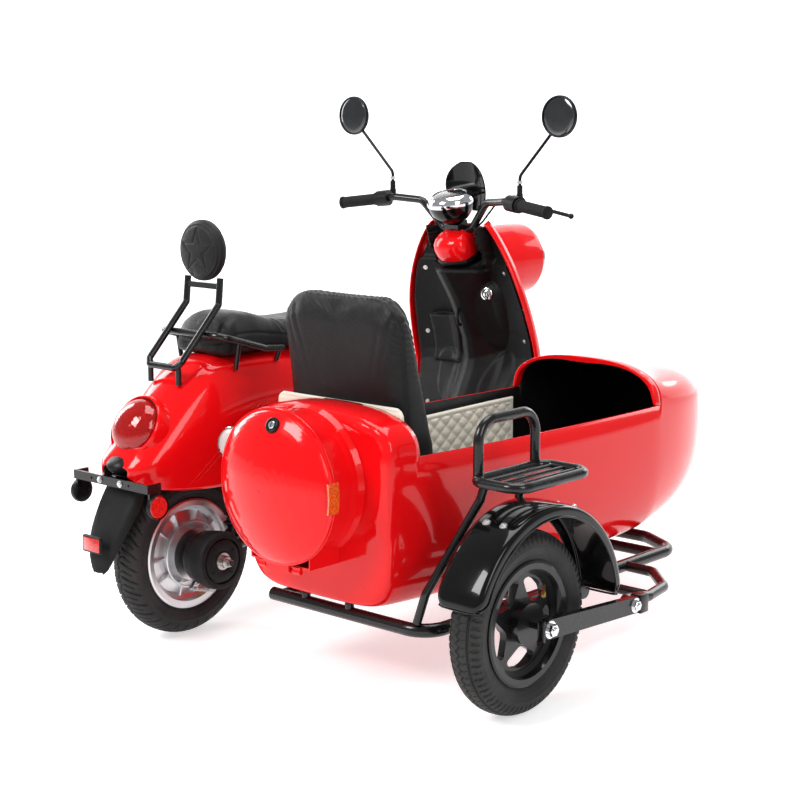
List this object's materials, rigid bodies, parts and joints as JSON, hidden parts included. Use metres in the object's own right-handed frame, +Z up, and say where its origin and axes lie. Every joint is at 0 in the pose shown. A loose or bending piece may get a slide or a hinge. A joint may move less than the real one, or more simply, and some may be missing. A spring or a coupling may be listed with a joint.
{
  "type": "sidecar scooter",
  "caption": "Red electric scooter with a boat-shaped passenger sidecar on its right, black saddle and seat, chrome trim and a luggage rack.",
  "frame": {"origin": "Ground level under the centre of the bounding box, between the scooter's wheels and the sidecar's wheel.", "axes": "+Y forward along the direction of travel, +X to the rider's right (towards the sidecar), +Z up."},
  "size_m": [1.551, 1.8552, 1.3468],
  "materials": {
    "red_paint": "gloss",
    "frame_black": "gloss",
    "trim_black": "matte",
    "battery_case": "matte",
    "gloss_black": "gloss",
    "seat_vinyl": "satin",
    "cream_vinyl": "satin",
    "lamp_glass": "clear",
    "lamp_red": "gloss",
    "chrome": "polished",
    "rubber": "matte",
    "tyre": "matte",
    "cast_silver": "satin",
    "cast_black": "satin"
  },
  "bodies": {
    "chassis": {"scooter_frame": "frame_black", "battery_pack": "battery_case", "floor_board": "trim_black", "side_skirts": "red_paint", "leg_shield": "red_paint", "head_lamp": "lamp_glass", "inner_shield": "trim_black", "tail_body": "red_paint", "saddle_front_panel": "trim_black", "saddle": "seat_vinyl", "tail_lamp": "lamp_red", "turn_signals": "lamp_glass", "rear_bracket": "frame_black", "reflectors": "lamp_red", "mudflap": "trim_black", "grab_rail": "frame_black", "backrest_hoop": "frame_black", "backrest_pad": "seat_vinyl", "swing_arm": "frame_black", "rear_shocks": "frame_black", "sidecar_frame": "frame_black", "tub": "red_paint", "cowl_lip": "red_paint", "tub_lining": "cream_vinyl", "sidecar_seat": "seat_vinyl", "sidecar_backrest": "seat_vinyl", "boot_base": "red_paint", "fender": "gloss_black", "rack": "frame_black", "wheel_bar": "frame_black"},
    "steering": {"fork": "frame_black", "front_mudguard": "red_paint", "headset": "red_paint", "dash_cup": "chrome", "handlebar": "frame_black", "grips": "rubber", "levers": "trim_black", "mirrors": "trim_black", "flyscreen": "gloss_black"},
    "front_wheel": {"front_rim": "cast_silver", "front_tyre": "tyre"},
    "rear_wheel": {"rear_rim": "cast_silver", "rear_tyre": "tyre"},
    "side_wheel": {"side_rim": "cast_black", "side_tyre": "tyre"},
    "boot": {"boot_lid": "red_paint"}
  },
  "joints": [
    {"name": "steer", "type": "hinge", "parent": "chassis", "child": "steering", "pos_m": [-0.3335, 0.44109, 0.95], "axis": [0, -0.3256, 0.9455], "range_deg": [-35, 35]},
    {"name": "front_spin", "type": "hinge", "parent": "steering", "child": "front_wheel", "pos_m": [-0.3335, 0.71825, 0.2065], "axis": [1, 0, 0], "continuous": true},
    {"name": "rear_spin", "type": "hinge", "parent": "chassis", "child": "rear_wheel", "pos_m": [-0.3335, -0.64175, 0.2065], "axis": [1, 0, 0], "continuous": true},
    {"name": "side_spin", "type": "hinge", "parent": "chassis", "child": "side_wheel", "pos_m": [0.6695, -0.55375, 0.2065], "axis": [1, 0, 0], "continuous": true},
    {"name": "boot_hinge", "type": "hinge", "parent": "chassis", "child": "boot", "pos_m": [0.1695, -0.78775, 0.285], "axis": [1, 0, 0], "range_deg": [0, 80]}
  ]
}
